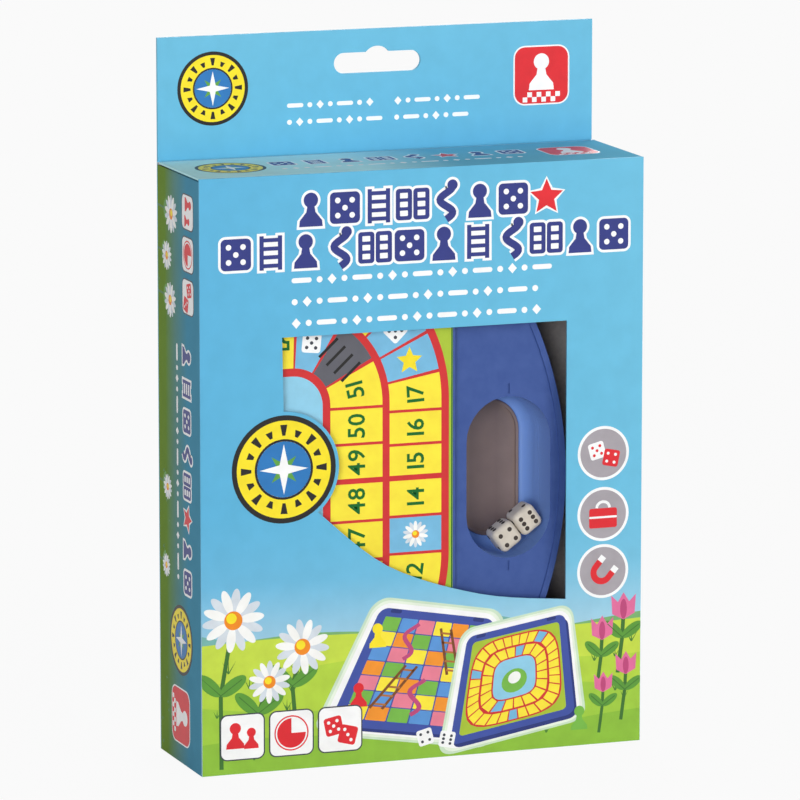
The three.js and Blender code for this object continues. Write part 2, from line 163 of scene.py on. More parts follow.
class Shader:
    """A node material with a Principled shader and short helpers."""

    def __init__(self, name):
        self.material = bpy.data.materials.new(name)
        self.material.use_nodes = True
        self.tree = self.material.node_tree
        self.principled = self.tree.nodes["Principled BSDF"]
        self.place = self.tree.nodes.new("ShaderNodeTexCoord")

    def noise(self, scale, detail=SOFT_DETAIL):
        node = add_node(self.tree, "ShaderNodeTexNoise", self.place.outputs["Object"])
        node.inputs["Scale"].default_value = scale
        node.inputs["Detail"].default_value = detail
        return node.outputs["Fac"]

    def ramp(self, source, stops):
        node = add_node(self.tree, "ShaderNodeValToRGB", source)
        elements = node.color_ramp.elements
        while len(elements) < len(stops):
            elements.new(0.5)
        for element, (position, rgb) in zip(elements, stops):
            element.position = position
            element.color = linear(rgb)
        return node.outputs["Color"]

    def mottle(self, scale, dark, light):
        """A soft mottle between two colours."""
        return self.ramp(self.noise(scale), list(zip(MOTTLE_STOPS, (dark, light))))

    def part(self, source, axis):
        """One axis of the object's coordinates or of its normals."""
        return add_node(self.tree, "ShaderNodeSeparateXYZ", self.place.outputs[source]).outputs[axis]

    def along(self, axis, low, high):
        """Position along one object axis, in millimetres, as 0 to 1."""
        place = self.part("Object", axis)
        return add_node(self.tree, "ShaderNodeMapRange", place, low * MM, high * MM).outputs["Result"]

    def facing(self, axis, sign):
        """1 where the surface faces along an object axis, 0 elsewhere."""
        operation = "GREATER_THAN" if sign > 0 else "LESS_THAN"
        return add_math(self.tree, operation, self.part("Normal", axis), 0.5 * sign)

    def inside(self, axis, centre, reach):
        """1 within a reach of a place on one object axis, in millimetres, 0 beyond it."""
        return add_math(self.tree, "COMPARE", self.part("Object", axis), centre * MM, reach * MM)

    def mix(self, factor, first, second, blend="MIX"):
        node = add_node(self.tree, "ShaderNodeMix")
        node.data_type = "RGBA"
        node.blend_type = blend
        colours = [socket for socket in node.inputs if socket.type == "RGBA"]
        for socket, value in zip([node.inputs["Factor"]] + colours, (factor, first, second)):
            feed(self.tree, socket, value)
        return [socket for socket in node.outputs if socket.type == "RGBA"][0]

    def relief(self, scale, strength, depth, detail=FINE_DETAIL):
        """A fine relief with a depth in millimetres."""
        node = add_node(self.tree, "ShaderNodeBump", strength, depth * MM)
        feed(self.tree, node.inputs["Height"], self.noise(scale, detail))
        feed(self.tree, self.principled.inputs["Normal"], node.outputs["Normal"])

    def finish(self, colour, roughness, specular, metallic=0.0):
        look = {
            "Base Color": colour,
            "Roughness": roughness,
            "Specular IOR Level": specular,
            "Metallic": metallic,
        }
        for name, value in look.items():
            feed(self.tree, self.principled.inputs[name], value)
        return self.material


def mottled(name, rgb, roughness, spread, scale, relief=None, metallic=0.0):
    """One colour with a soft mottle, and a fine relief of a scale and a depth where asked."""
    shader = Shader(name)
    colour = shader.mottle(scale, scaled(rgb, 1 - spread), scaled(rgb, 1 + spread))
    if relief:
        grain, depth = relief
        shader.relief(grain, 0.35, depth)
    return shader.finish(colour, roughness, PLAIN_SPECULAR, metallic)


# Paper of the carton. On the hazy sheets the sky pales toward the horizon, between two heights
PAPER_ROUGHNESS = 0.5
PAPER_SPECULAR = 0.14
PRINT_MOTTLE = ((248, 248, 248), (255, 255, 255))
RAW_BOARD = ((176, 172, 172), (190, 186, 185))
HAZE_SPAN = (92.0, 40.0)
HAZE = [(0.0, (0, 0, 0)), (0.5, (92, 92, 92)), (1.0, (206, 206, 206))]
HAZE_TINTS = [(0.0, (150, 208, 232)), (1.0, (206, 230, 240))]
HAZY = ("front_panel", "back_panel")
MATT = ("left_panel", "right_panel", "top_lid")
# Middle and reach of the crease between the lid and the tab, printed on both faces
CREASE = (207.2, 0.3)


def carton_paper(node, axis, sign, ramp_axis, low, high, stops):
    """Printed outside with a colour run, raw grey board on the face along the axis. The runs of the sides
    and the tab hold painted shade, and the lid's run a painted sheen.
    """
    shader = Shader("paper_" + node)
    run = shader.ramp(shader.along(ramp_axis, low, high), stops)
    if node in HAZY:
        rise = shader.along("Z", *HAZE_SPAN)
        run = shader.mix(shader.ramp(rise, HAZE), run, shader.ramp(rise, HAZE_TINTS))
    printed = shader.mix(1.0, run, shader.mottle(140.0, *PRINT_MOTTLE), "MULTIPLY")
    raw = shader.mottle(700.0, *RAW_BOARD)
    faces = shader.mix(shader.facing(axis, sign), printed, raw)
    colour = shader.mix(shader.inside("Z", *CREASE), faces, printed)
    shader.relief(420.0, 0.12, 0.02, SOFT_DETAIL)
    return shader.finish(colour, PAPER_ROUGHNESS, 0.0 if node in MATT else PAPER_SPECULAR)


ink_cache = {}


def ink(name):
    if name not in ink_cache:
        ink_cache[name] = mottled("ink_" + name, INKS[name], roughness=0.42, spread=0.025, scale=180.0)
    return ink_cache[name]


# Flat outlines, as lists of points in millimetres
ELLIPSE_SIDES = 28
CORNER_STEPS = 6


def turned(points, cu, cv, angle):
    """Points about the origin, turned and moved to a centre."""
    c = math.cos(angle)
    s = math.sin(angle)
    return [(cu + u * c - v * s, cv + u * s + v * c) for u, v in points]


def arc(cu, cv, radius, start, end, steps):
    """Points along an arc between two angles, which are in half turns."""
    points = []
    for i in range(steps + 1):
        angle = math.pi * (start + (end - start) * i / steps)
        points.append((cu + radius * math.cos(angle), cv + radius * math.sin(angle)))
    return points


def circle(cu, cv, radius, count):
    return arc(cu, cv, radius, 0.0, 2.0, count)[:-1]


def ellipse(cu, cv, long_radius, short_radius, angle):
    flat = [(long_radius * c, short_radius * s) for c, s in circle(0.0, 0.0, 1.0, ELLIPSE_SIDES)]
    return turned(flat, cu, cv, angle)


def rounded(cu, cv, half_u, half_v, radius):
    """A rectangle with round corners."""
    points = []
    for side_u, side_v, turn in ((1, 1, 0.0), (-1, 1, 0.5), (-1, -1, 1.0), (1, -1, 1.5)):
        corner_u = cu + side_u * (half_u - radius)
        corner_v = cv + side_v * (half_v - radius)
        points += arc(corner_u, corner_v, radius, turn, turn + 0.5, CORNER_STEPS)
    return points


def edges(points, width):
    """The two edges of a line of points with a width."""
    left = []
    right = []
    for (u, v), before, after in zip(points, points[:1] + points[:-1], points[1:] + points[-1:]):
        du = after[0] - before[0]
        dv = after[1] - before[1]
        share = width / 2 / math.hypot(du, dv)
        left.append((u - dv * share, v + du * share))
        right.append((u + dv * share, v - du * share))
    return right, left


def band(points, width):
    """A line of points widened to a closed outline."""
    right, left = edges(points, width)
    return right + left[::-1]


def area(points):
    pairs = zip(points, points[1:] + points[:1])
    return sum(u0 * v1 - u1 * v0 for (u0, v0), (u1, v1) in pairs) / 2


def glyph_shape(character):
    """Vertices and faces of one raised digit, its height scaled to 1."""
    curve = bpy.data.curves.new("glyph", "FONT")
    curve.body = character
    curve.extrude = 0.5
    curve.offset = 0.014
    curve.resolution_u = 3
    holder = add_object("glyph", curve)
    mesh = bpy.data.meshes.new_from_object(holder)
    bm = bmesh.new()
    bm.from_mesh(mesh)
    bmesh.ops.remove_doubles(bm, verts=bm.verts, dist=1e-5)
    bm.verts.index_update()
    vertices = [tuple(vertex.co) for vertex in bm.verts]
    faces = [[vertex.index for vertex in face.verts] for face in bm.faces]
    bm.free()
    bpy.data.objects.remove(holder)
    bpy.data.meshes.remove(mesh)
    bpy.data.curves.remove(curve)
    low_u = min(v[0] for v in vertices)
    low_v = min(v[1] for v in vertices)
    height = max(v[1] for v in vertices) - low_v
    width = (max(v[0] for v in vertices) - low_u) / height
    shape = [((x - low_u) / height, (y - low_v) / height, z + 0.5) for x, y, z in vertices]
    return shape, faces, width


GLYPHS = {character: glyph_shape(character) for character in "0123456789"}
DIGIT_GAP = 0.12


def add_piece(name, mesh, body):
    piece = add_object(name, mesh)
    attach(piece, body)
    return piece


class Print:
    """Inks on one printed face: thin closed shapes laid over each other."""

    def __init__(self, name, body, slot, origin, right, up, limits):
        self.name = name
        self.limits = limits
        self.body = body
        self.slot = slot
        self.origin = Vector(origin)
        self.right = Vector(right)
        self.up = Vector(up)
        self.normal = self.right.cross(self.up)
        self.vertices = []
        self.faces = []
        self.slots = []
        self.inks = []
        self.count = 0

    def at(self, u, v, w):
        return (self.origin + self.right * u + self.up * v + self.normal * w) * MM

    def slot_of(self, colour):
        if colour not in self.inks:
            self.inks.append(colour)
        return self.inks.index(colour)

    def height(self, layer):
        """Top of the next ink on a layer. Neighbours differ a little, so that none share a plane."""
        self.count += 1
        return INK_STEP * (layer + 1 + (self.count % INK_LIFTS) / INK_LIFTS)

    def shape(self, points, colour, layer):
        """A filled outline."""
        low_u, high_u, low_v, high_v = self.limits
        points = [(min(max(u, low_u), high_u), min(max(v, low_v), high_v)) for u, v in points]
        if area(points) < 0:
            points = points[::-1]
        top = self.height(layer)
        first = len(self.vertices)
        count = len(points)
        for depth in (-INK_SUNK, top):
            self.vertices += [self.at(u, v, depth) for u, v in points]
        self.faces.append([first + count + i for i in range(count)])
        self.faces.append([first + i for i in reversed(range(count))])
        for i in range(count):
            j = (i + 1) % count
            self.faces.append([first + i, first + j, first + count + j, first + count + i])
        self.slots += [self.slot_of(colour)] * (count + 2)

    def strip(self, first_line, second_line, colour, layer, closed=False):
        """A band between two lines of equal length, as quads."""
        pairs = list(zip(first_line, second_line))
        steps = len(pairs) if closed else len(pairs) - 1
        for i in range(steps):
            a, b = pairs[i]
            c, d = pairs[(i + 1) % len(pairs)]
            self.shape([a, c, d, b], colour, layer)

    def ring(self, cu, cv, outer, inner, colour, layer, count=48):
        self.strip(circle(cu, cv, outer, count), circle(cu, cv, inner, count), colour, layer, True)

    def line(self, points, width, colour, layer):
        right, left = edges(points, width)
        self.strip(right, left, colour, layer)

    def disc(self, cu, cv, radius, colour, layer, count=36):
        self.shape(circle(cu, cv, radius, count), colour, layer)

    def number(self, value, cu, cv, height, angle, colour, layer):
        """A plain number centred on a point."""
        text = str(value)
        width = sum(GLYPHS[c][2] for c in text) + DIGIT_GAP * (len(text) - 1)
        start = -width / 2
        top = self.height(layer)
        for character in text:
            shape, faces, glyph_width = GLYPHS[character]
            first = len(self.vertices)
            flat = [((start + x) * height, (y - 0.5) * height) for x, y, _ in shape]
            for (u, v), (_, _, z) in zip(turned(flat, cu, cv, angle), shape):
                self.vertices.append(self.at(u, v, z * (top + INK_SUNK) - INK_SUNK))
            for face in faces:
                self.faces.append([first + i for i in face])
            self.slots += [self.slot_of(colour)] * len(faces)
            start += glyph_width + DIGIT_GAP

    def build(self):
        mesh = bpy.data.meshes.new(self.name)
        mesh.from_pydata([tuple(v) for v in self.vertices], [], self.faces)
        for colour in self.inks:
            mesh.materials.append(ink(colour))
        mesh.polygons.foreach_set("material_index", self.slots)
        mesh.update()
        add_piece(self.name, mesh, self.body)


# Pictograms: each takes a centre, a height and a growth for its white outline
STAR_POINTS = 5
PIPS = {
    1: [(0, 0)],
    2: [(-1, 1), (1, -1)],
    3: [(-1, 1), (0, 0), (1, -1)],
    4: [(-1, 1), (1, 1), (-1, -1), (1, -1)],
    5: [(-1, 1), (1, 1), (0, 0), (-1, -1), (1, -1)],
    6: [(-1, 1), (1, 1), (-1, 0), (1, 0), (-1, -1), (1, -1)],
}


def pawn(art, cu, cv, h, colour, layer, grow=0.0):
    art.disc(cu, cv + 0.27 * h, 0.22 * h + grow, colour, layer)
    right = [(0.36 * h + grow, -0.5 * h - grow)]
    right += [(a * h + grow, b * h) for a, b in ((0.34, -0.32), (0.14, -0.08), (0.1, 0.16))]
    left = [(-a, b) for a, b in reversed(right)]
    art.shape([(cu + a, cv + b) for a, b in right + left], colour, layer)


def die_face(art, cu, cv, h, colour, layer, grow=0.0, count=5, pip="white", angle=0.0):
    half = 0.46 * h + grow
    art.shape(turned(rounded(0, 0, half, half, 0.14 * h + grow), cu, cv, angle), colour, layer)
    if grow == 0:
        for du, dv in PIPS[count]:
            (pu, pv), = turned([(du * 0.22 * h, dv * 0.22 * h)], cu, cv, angle)
            art.disc(pu, pv, 0.085 * h, pip, layer + 1, 16)


def ladder(art, cu, cv, h, colour, layer, grow=0.0, width=0.56, rungs=4, angle=0.0, rail=0.13):
    def put(points):
        return turned(points, cu, cv, angle)
    for side in (-1, 1):
        u = side * width * h / 2
        ends = [(u, -0.5 * h - grow), (u, 0.5 * h + grow)]
        art.shape(put(band(ends, rail * h + 2 * grow)), colour, layer)
    for i in range(rungs):
        v = h * (-0.5 + (i + 0.5) / rungs)
        reach = (width - rail) * h / 2 - grow
        ends = [(-reach, v), (reach, v)]
        art.shape(put(band(ends, 0.9 * rail * h + 2 * grow)), colour, layer)


def ribbon(art, cu, cv, h, colour, layer, grow=0.0):
    shares = [i / 24 for i in range(25)]
    points = [(cu + 0.2 * h * math.sin(2.6 * math.pi * t), cv + h * (t - 0.5)) for t in shares]
    art.line(points, 0.22 * h + 2 * grow, colour, layer)
    art.disc(points[-1][0], points[-1][1], 0.16 * h + grow, colour, layer, 24)


def star(art, cu, cv, h, colour, layer, grow=0.0):
    radii = (0.54 * h + grow, 0.25 * h + grow)
    corners = enumerate(circle(0.0, 0.0, 1.0, 2 * STAR_POINTS))
    points = [(radii[i % 2] * c, radii[i % 2] * s) for i, (c, s) in corners]
    art.shape(turned(points, cu, cv, math.pi / 2), colour, layer)


def open_board(art, cu, cv, h, colour, layer, grow=0.0):
    for side in (-1, 1):
        u = cu + side * 0.27 * h
        art.shape(rounded(u, cv, 0.25 * h + grow, 0.46 * h + grow, 0.1 * h + grow), colour, layer)
        if grow == 0:
            for i in range(3):
                v = cv + (i - 1) * 0.26 * h
                art.shape(rounded(u, v, 0.12 * h, 0.08 * h, 0.02 * h), "white", layer + 1)


PICTOGRAMS = {
    "pawn": pawn,
    "die": die_face,
    "ladder": ladder,
    "ribbon": ribbon,
    "star": star,
    "board": open_board,
}


def title_row(art, kinds, left, right, cv, h, layer=4, rim=0.9):
    """A row of dark pictograms with a white rim. Stars are red."""
    pitch = (right - left) / (len(kinds) - 1)
    for i, kind in enumerate(kinds):
        draw = PICTOGRAMS[kind]
        u = left + i * pitch
        draw(art, u, cv, h, "white", layer, rim)
        draw(art, u, cv, h, "red" if kind == "star" else "navy", layer + 1)


# Lengths of a dash, a dot, a diamond and a dot, as shares of their row's height
ORNAMENT_LENGTHS = (2.0, 0.6, 0.9, 0.6)


def ornament_row(art, left, right, cv, h, phase, layer=4):
    """A line of small white dashes, dots and diamonds."""
    u = left
    i = phase
    while u < right - h:
        kind = i % len(ORNAMENT_LENGTHS)
        length = ORNAMENT_LENGTHS[kind] * h
        middle = u + length / 2
        if kind == 0:
            art.shape(rounded(middle, cv, length / 2, 0.24 * h, 0.23 * h), "white", layer)
        elif kind == 2:
            diamond = [(u, cv), (middle, cv - 0.5 * h), (u + length, cv), (middle, cv + 0.5 * h)]
            art.shape(diamond, "white", layer)
        else:
            art.disc(middle, cv, 0.3 * h, "white", layer, 16)
        u += length + 0.5 * h
        i += 1


def compass(art, cu, cv, radius, layer):
    """Round yellow and black badge with a compass star."""
    unit = radius / 20.0
    art.disc(cu, cv, 18.4 * unit, "sun", layer, 64)
    art.ring(cu, cv, 18.9 * unit, 17.1 * unit, "black", layer + 1, 64)
    art.ring(cu, cv, 10.6 * unit, 9.8 * unit, "black", layer + 1)
    art.disc(cu, cv, 9.8 * unit, "globe", layer + 1)
    for i in range(16):
        near = 11.8 * unit
        far = (15.6 if i % 2 == 0 else 14.2) * unit
        wedge = [(near, -0.55 * unit), (far, -1.3 * unit), (far, 1.3 * unit), (near, 0.55 * unit)]
        art.shape(turned(wedge, cu, cv, math.pi * i / 8), "black", layer + 1)
    for turn, reach, colour, lift in ((math.pi / 4, 6.4, "globe_land", 2), (0.0, 8.8, "white", 3)):
        for i in range(4):
            angle = turn + math.pi / 2 * i
            point = [(0, -1.9 * unit), (reach * unit, 0), (0, 1.9 * unit), (-1.2 * unit, 0)]
            art.shape(turned(point, cu, cv, angle), colour, layer + lift)


def red_badge(art, cu, cv, size, layer):
    """Red rounded badge with a white pawn and a checked foot."""
    half = size / 2
    art.shape(rounded(cu, cv, half, half, 0.2 * size), "white", layer)
    art.shape(rounded(cu, cv, half - 0.5, half - 0.5, 0.18 * size), "red", layer + 1)
    pawn(art, cu, cv + 0.06 * size, 0.62 * size, "white", layer + 2)
    cell = size / 12
    for i in range(8):
        v = cv - half + cell * (1.1 + (i % 2))
        art.shape(rounded(cu + cell * (i - 3.5), v, cell / 2, cell / 2, 0.1), "white", layer + 2)


PETALS = 14
LEAF_ANGLES = (0.6, 2.4)


def daisy(art, cu, cv, radius, layer, turn=0.0):
    middles = turned(circle(0.0, 0.0, 0.62 * radius, PETALS), cu, cv, turn)
    for i, (pu, pv) in enumerate(middles):
        angle = turn + 2 * math.pi * i / PETALS
        colour, lift = ("petal", 1) if i % 2 == 0 else ("petal_shade", 0)
        art.shape(ellipse(pu, pv, 0.4 * radius, 0.15 * radius, angle), colour, layer + lift)
    art.disc(cu, cv, 0.3 * radius, "orange", layer + 2)
    art.disc(cu - 0.06 * radius, cv + 0.07 * radius, 0.17 * radius, "sun", layer + 3, 24)


def flower_stem(art, points, width, layer, leaf_length):
    """A stem with two leaves at its bend."""
    art.line(points, width, "leaf_dark", layer)
    u, v = points[1]
    reach = leaf_length / 2
    for angle in LEAF_ANGLES:
        along_u = reach * math.cos(angle)
        along_v = reach * math.sin(angle)
        leaf = ellipse(u + along_u, v + along_v, reach, 0.22 * leaf_length, angle)
        art.shape(leaf, "leaf", layer + 1)
        art.line([(u, v), (u + 1.7 * along_u, v + 1.7 * along_v)], 0.3, "leaf_dark", layer + 2)


TULIP_CUP = (
    (-0.2, 0.0), (0.0, -0.1), (0.2, 0.0), (0.22, 0.32),
    (0.1, 0.2), (0.0, 0.36), (-0.1, 0.2), (-0.22, 0.32),
)


def tulip(art, cu, cv, h, layer):
    stem = [(cu - 0.1 * h, cv - h), (cu - 0.02 * h, cv - 0.4 * h), (cu, cv)]
    flower_stem(art, stem, 0.07 * h, layer, 0.42 * h)
    art.shape([(cu + a * h, cv + b * h) for a, b in TULIP_CUP], "pink", layer + 2)
    art.shape(ellipse(cu, cv + 0.08 * h, 0.17 * h, 0.06 * h, math.pi / 2), "pink_dark", layer + 3)


def grass(art, left, right, low, high, count, layer, seed, size=5.0):
    """Tufts of three blades scattered over a field."""
    draw = random.Random(seed)
    for _ in range(count):
        u = draw.uniform(left, right)
        v = draw.uniform(low, high)
        h = size * draw.uniform(0.6, 1.1)
        for lean in (-0.45, 0.0, 0.5):
            blade = [(u - 0.28, v), (u + 0.28, v), (u + lean * h + 0.1, v + h * (1 - 0.35 * abs(lean)))]
            art.shape(blade, "grass", layer)


# Rows of the meadow from far to near: ink, share of the height, sink, and swell, length and phase of a wave
MEADOW_ROWS = (
    ("hill_far", 1.0, -1.5, 4.5, 17.0, 1.0),
    ("hill", 1.0, -3.0, 2.6, 23.0, 3.4),
    ("meadow_far", 1.0, -3.0, -1.6, 31.0, 0.0),
    ("meadow_mid", 0.72, 0.0, 3.0, 26.0, 2.0),
    ("meadow_near", 0.48, 0.0, 3.0, 21.0, 0.4),
    ("meadow_low", 0.2, 0.0, 2.4, 24.0, 4.0),
)
MEADOW_HEIGHT = 48.0
MEADOW_STEPS = 36
TUFT_AREA = 190


def meadow(art, left, right, height, seed):
    """Hills and fields with wavy upper edges, and tufts of grass over them."""
    wave = height / MEADOW_HEIGHT
    for layer, (colour, share, sink, swell, length, phase) in enumerate(MEADOW_ROWS):
        points = [(left, 0.0), (right, 0.0)]
        for i in range(MEADOW_STEPS + 1):
            u = right + (left - right) * i / MEADOW_STEPS
            points.append((u, share * height + wave * (swell * math.sin(u / length + phase) + sink)))
        art.shape(points, colour, layer)
    count = int((right - left) * height / TUFT_AREA)
    grass(art, left + 3, right - 3, 0.05 * height, 0.75 * height, count, len(MEADOW_ROWS), seed)


def corner_map(corners):
    """Maps the unit square onto a four-cornered patch."""
    def put(points):
        mapped = []
        for s, t in points:
            weights = ((1 - s) * (1 - t), s * (1 - t), s * t, (1 - s) * t)
            mapped.append([sum(map(math.prod, zip(weights, places))) for places in zip(*corners)])
        return mapped
    return put


def squircle(reach, turn):
    """A point on a rounded square about the middle of the unit square."""
    angle = 2 * math.pi * turn
    c = math.cos(angle)
    s = math.sin(angle)
    stretch = (abs(c) ** 4 + abs(s) ** 4) ** -0.25
    return (0.5 + reach * stretch * c, 0.5 + reach * stretch * s)


CELL_COLOURS = ("yellow", "cell_orange", "cell_green", "cell_blue", "cell_pink")


def pictured_loop(art, put, layer):
    art.shape(put(rounded(0.5, 0.5, 0.46, 0.46, 0.04)), "lime", layer + 2)
    for half, colour, lift in ((0.44, "track_red", 3), (0.2, "pond", 6)):
        art.shape(put([squircle(half, i / 48) for i in range(48)]), colour, layer + lift)
    for near, far, count in ((0.33, 0.425, 30), (0.215, 0.31, 20)):
        for i in range(count):
            first = (i + 0.07) / count
            last = (i + 0.93) / count
            corners = ((near, first), (far, first), (far, last), (near, last))
            cell = [squircle(reach, turn) for reach, turn in corners]
            art.shape(put(cell), "sky_cell" if i % 9 == 4 else "yellow", layer + 4)
    art.shape(put(circle(0.5, 0.47, 0.12, 20)), "cell_green", layer + 7)
    art.shape(put(circle(0.5, 0.5, 0.06, 16)), "petal", layer + 8)


def pictured_grid(art, put, layer):
    rows = 7
    columns = 6
    rise = 0.4
    rails = (0.0, 0.09)
    for row in range(rows):
        for column in range(columns):
            s = 0.04 + 0.92 * (column + 0.5) / columns
            t = 0.04 + 0.92 * (row + 0.5) / rows
            cell = rounded(s, t, 0.43 / columns, 0.43 / rows, 0.008)
            art.shape(put(cell), CELL_COLOURS[(2 * row + column) % len(CELL_COLOURS)], layer + 2)
    for s, t, lean in ((0.2, 0.15, 0.16), (0.7, 0.5, -0.14)):
        for offset in rails:
            rail = [(s + offset, t), (s + offset + lean, t + rise)]
            art.shape(put(band(rail, 0.022)), "wood_dark", layer + 3)
        for i in range(5):
            share = (i + 0.5) / 5
            rung = [(s + offset + lean * share, t + rise * share) for offset in rails]
            art.shape(put(band(rung, 0.018)), "wood", layer + 3)
    for s, t in ((0.5, 0.12), (0.32, 0.6)):
        wave = [(s + 0.05 * math.sin(i / 2.2), t + 0.32 * i / 16) for i in range(17)]
        art.shape(put(band(wave, 0.035)), "pink_dark", layer + 4)


def pictured_board(art, corners, layer, looped):
    """A small picture of the opened board, seen at a slant."""
    put = corner_map(corners)
    case = put(rounded(0.5, 0.5, 0.53, 0.53, 0.08))
    art.shape([(u + 1.0, v - 1.3) for u, v in case], "case_dark", layer)
    for i, colour in enumerate(("halo_outer", "halo_inner", "white")):
        reach = 0.62 - 0.022 * i
        art.shape(put(rounded(0.5, 0.5, reach, reach, 0.14)), colour, layer - 3 + i)
    art.shape(case, "case", layer + 1)
    for s in (0.12, 0.88):
        art.shape(put(rounded(s, 1.01, 0.05, 0.018, 0.015)), "case_dark", layer + 2)
    picture = pictured_loop if looped else pictured_grid
    picture(art, put, layer)


def info_card(art, cu, cv, kind, layer, size):
    """White rounded card with a thin dark outline and a red pictogram."""
    half = size / 2
    art.shape(rounded(cu, cv, half + 0.45, half + 0.45, 2.6), "outline", layer)
    art.shape(rounded(cu, cv, half, half, 2.2), "white", layer + 1)
    if kind == "pawns":
        pawn(art, cu - 2.6, cv + 0.6, 0.6 * size, "red", layer + 2)
        pawn(art, cu + 3.2, cv - 0.6, 0.48 * size, "red", layer + 3)
    elif kind == "clock":
        radius = 0.34 * size
        art.shape([(cu, cv)] + arc(cu, cv, radius, 0.5, 2.0, 30), "red", layer + 2)
        art.ring(cu, cv, radius + 1.0, radius + 0.5, "red", layer + 2)
    else:
        die_face(art, cu - 2.4, cv + 1.2, 0.46 * size, "red", layer + 2, 0.0, 5, "white", 0.2)
        die_face(art, cu + 2.8, cv - 2.2, 0.46 * size, "red", layer + 4, 0.0, 3, "white", -0.25)


def card_row(art, left, pitch, cv, layer, size=15.4):
    for i, kind in enumerate(("pawns", "clock", "dice")):
        info_card(art, left + pitch * i, cv, kind, layer, size)


def grey_disc(art, cu, cv, radius, kind, layer):
    art.disc(cu, cv, radius + 0.7, "white", layer, 48)
    art.disc(cu, cv, radius - 0.3, "disc_grey", layer + 1, 48)
    if kind == "dice":
        die_face(art, cu - 2.4, cv + 1.0, 6.4, "white", layer + 2, 0.0, 5, "red", 0.25)
        die_face(art, cu + 2.9, cv - 1.8, 6.4, "red", layer + 4, 0.0, 4, "white", -0.2)
    elif kind == "case":
        art.shape(rounded(cu, cv - 1.4, 5.2, 3.5, 0.8), "red", layer + 2)
        art.shape(rounded(cu, cv - 1.1, 5.2, 0.35, 0.3), "white", layer + 3)
        handle = [(cu + 2.4 * c, cv + 2.2 + 2.2 * s) for c, s in arc(0.0, 0.0, 1.0, 0.0, 1.0, 14)]
        art.line(handle, 1.0, "white", layer + 3)
    else:
        turn = -0.7
        legs = [(-3.1, 2.4)] + arc(0.0, -0.6, 3.1, 1.0, 2.0, 18) + [(3.1, 2.4)]
        art.shape(turned(band(legs, 2.3), cu, cv, turn), "red", layer + 2)
        for side in (-1, 1):
            art.shape(turned(rounded(3.1 * side, 3.1, 1.15, 1.1, 0.1), cu, cv, turn), "white", layer + 3)


# The printed faces of the carton
FRONT_SEED = 11
SIDE_SEED = 23
BACK_SEED = 31


def front_print():
    art = Print("front_print", "carton", "carton", (0, FRONT_Y, 0), (1, 0, 0), (0, 0, 1), PANEL_LIMITS)
    meadow(art, -80.9, 80.9, MEADOW_HEIGHT, FRONT_SEED)
    upper = "pawn die ladder board ribbon pawn die star".split()
    lower = "die ladder pawn ribbon board die pawn ladder ribbon board pawn die".split()
    title_row(art, upper, -41.0, 45.0, 194.8, 11.8)
    title_row(art, lower, -68.0, 70.0, 180.6, 11.8)
    for i, cv in enumerate((170.6, 163.2, 155.8)):
        ornament_row(art, -48.0, 46.0, cv, 3.6, i)
    compass(art, -51.0, 105.5, 19.9, 4)
    for cv, kind in ((103.6, "dice"), (82.0, "case"), (61.7, "magnet")):
        grey_disc(art, 66.6, cv, 8.9, kind, 7)
    pictured_board(art, [(-33.0, 15.5), (20.0, 7.0), (25.0, 46.5), (-15.0, 53.5)], 9, False)
    pictured_board(art, [(11.0, 5.0), (55.0, 12.5), (51.5, 46.5), (17.0, 41.0)], 18, True)
    for cu, cv, colour in ((-24.0, 24.5, "red"), (-17.0, 45.0, "sun"), (58.0, 10.0, "cell_green")):
        pawn(art, cu, cv, 8.6, colour, 26)
    die_face(art, 0.5, 7.6, 6.2, "white", 26, 0.0, 4, "outline", 0.25)
    die_face(art, 8.6, 6.2, 6.2, "white", 26, 0.0, 6, "outline", -0.2)
    for root, head, radius, turn in (
        ((-74.0, 2.0), (-69.5, 54.0), 11.0, 0.1),
        ((-47.0, 16.0), (-44.5, 43.0), 9.6, 0.35),
        ((-60.0, 10.0), (-56.5, 31.5), 7.4, 0.2),
    ):
        bend = (0.5 * (root[0] + head[0]) - 2.4, 0.5 * (root[1] + head[1]))
        flower_stem(art, [root, bend, head], 1.5, 8, 11.0)
        daisy(art, head[0], head[1], radius, 11, turn)
    for cu, cv, h in ((74.5, 46.0, 21.0), (66.5, 39.0, 19.0), (75.5, 26.0, 18.0), (67.0, 20.0, 16.0)):
        tulip(art, cu, cv, h, 8)
    card_row(art, -66.4, 17.8, 13.0, 27)
    art.build()


def tab_print():
    art = Print("tab_print", "carton", "carton", (0, TAB_Y, 0), (1, 0, 0), (0, 0, 1), TAB_LIMITS)
    compass(art, -61.0, 231.6, 13.6, 0)
    red_badge(art, 60.4, 231.0, 21.0, 0)
    for i, cv in enumerate((224.4, 218.6)):
        ornament_row(art, -34.0, -1.0, cv, 3.0, i, 0)
        ornament_row(art, 5.5, 37.0, cv, 3.0, i + 2, 0)
    art.build()


def lid_print():
    art = Print("lid_print", "lid", "carton", (0, 0, TOP_Z), (1, 0, 0), (0, 1, 0), LID_LIMITS)
    kinds = "die ladder pawn board ribbon star pawn die".split()
    title_row(art, kinds, -42.0, 42.0, 4.0, 8.6, 0, 0.8)
    ornament_row(art, -46.0, 46.0, -8.0, 3.2, 1, 0)
    red_badge(art, 62.0, 0.0, 19.0, 0)
    compass(art, -62.0, 0.0, 13.0, 0)
    art.build()


